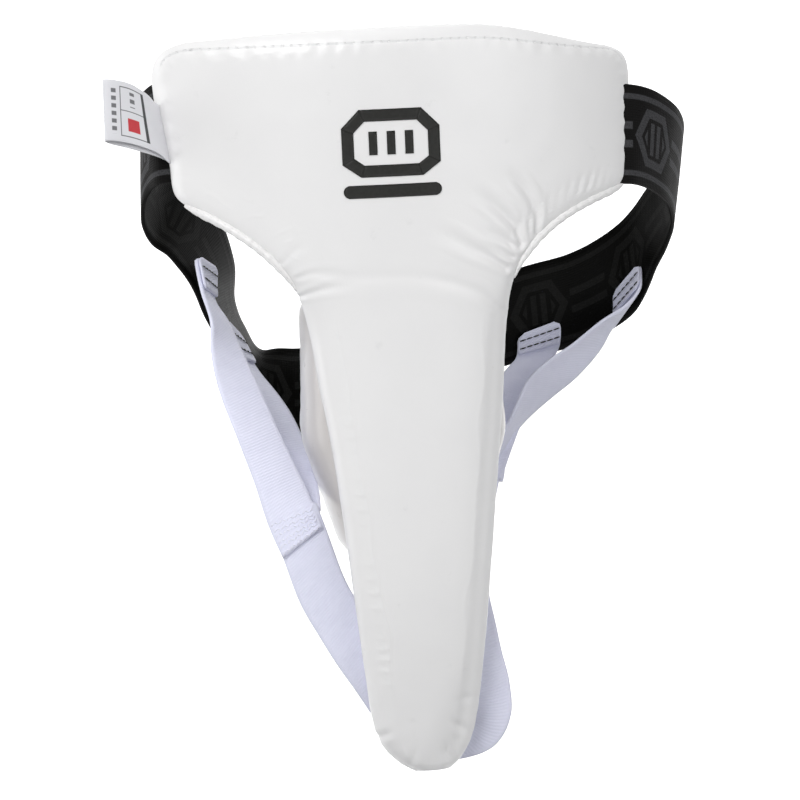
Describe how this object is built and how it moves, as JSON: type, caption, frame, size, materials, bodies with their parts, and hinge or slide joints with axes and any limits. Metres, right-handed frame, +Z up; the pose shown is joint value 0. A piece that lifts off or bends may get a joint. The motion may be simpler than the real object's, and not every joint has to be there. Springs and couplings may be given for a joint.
{
  "type": "groin protector",
  "caption": "Padded groin guard with a tapering tongue, a hard cup in a rear pocket, an elastic waist band and forked leg straps.",
  "frame": {"origin": "on the panel's centre line, level with the band where it leaves the panel, between the panel and the back of the band", "axes": "+Z up as worn, the front of the guard faces -Y, +X is to the right seen from the front"},
  "size_m": [0.2397, 0.1289, 0.2948],
  "materials": {
    "white_vinyl": "glossy white vinyl",
    "white_lining": "woven lining",
    "foam": "closed-cell foam",
    "black_print": "screen print",
    "cup_plastic": "moulded",
    "black_elastic": "woven elastic",
    "hook_loop": "hook and loop",
    "white_webbing": "ribbed webbing",
    "black_thread": "thread",
    "white_thread": "thread",
    "label_tape": "satin tape"
  },
  "bodies": {
    "front_panel": {"front_cover": "white_vinyl", "wing_foam": "foam", "back_lining": "white_lining", "lower_seam_rolls": "white_vinyl", "front_badge": "black_print", "left_front_arm": "white_webbing", "left_rear_arm": "white_webbing", "right_front_arm": "white_webbing", "right_rear_arm": "white_webbing", "left_joint_stitches": "white_thread", "right_joint_stitches": "white_thread"},
    "tongue": {"tongue_cover": "white_vinyl", "tongue_foam": "foam", "tongue_lining": "white_lining", "cup_pocket": "white_vinyl", "cup_shell": "cup_plastic", "cup_lining": "white_lining", "cup_rim_pad": "white_vinyl", "left_stem": "white_webbing", "right_stem": "white_webbing", "tip_stitches": "white_thread"},
    "band_left": {"left_band": "black_elastic", "hook_patch": "hook_loop", "left_front_tab": "white_webbing", "left_rear_tab": "white_webbing", "left_tab_stitches": "black_thread"},
    "band_right": {"right_band": "black_elastic", "loop_patch": "hook_loop", "right_front_tab": "white_webbing", "right_rear_tab": "white_webbing", "right_tab_stitches": "black_thread"},
    "label": {"size_label": "label_tape"}
  },
  "joints": [
    {"name": "tongue_fold", "type": "hinge", "parent": "front_panel", "child": "tongue", "pos_m": [0, -0.044, -0.058], "axis": [1, 0, 0], "range_deg": [-8, 10], "stiffness_Nm_per_rad": 1.2},
    {"name": "band_left_swing", "type": "hinge", "parent": "front_panel", "child": "band_left", "pos_m": [-0.0949, -0.025, 0.004], "axis": [0, 0, 1], "range_deg": [0, 30]},
    {"name": "band_right_swing", "type": "hinge", "parent": "front_panel", "child": "band_right", "pos_m": [0.0946, -0.027, -0.004], "axis": [0, 0, 1], "range_deg": [-15, 0]},
    {"name": "label_flap", "type": "hinge", "parent": "front_panel", "child": "label", "pos_m": [-0.0955, -0.0345, 0.006], "axis": [-0.16, 0, 0.9871], "range_deg": [-20, 20]}
  ],
  "couplings": [
    {"joint": "band_right_swing", "follows": "band_left_swing", "ratio": -0.5}
  ]
}
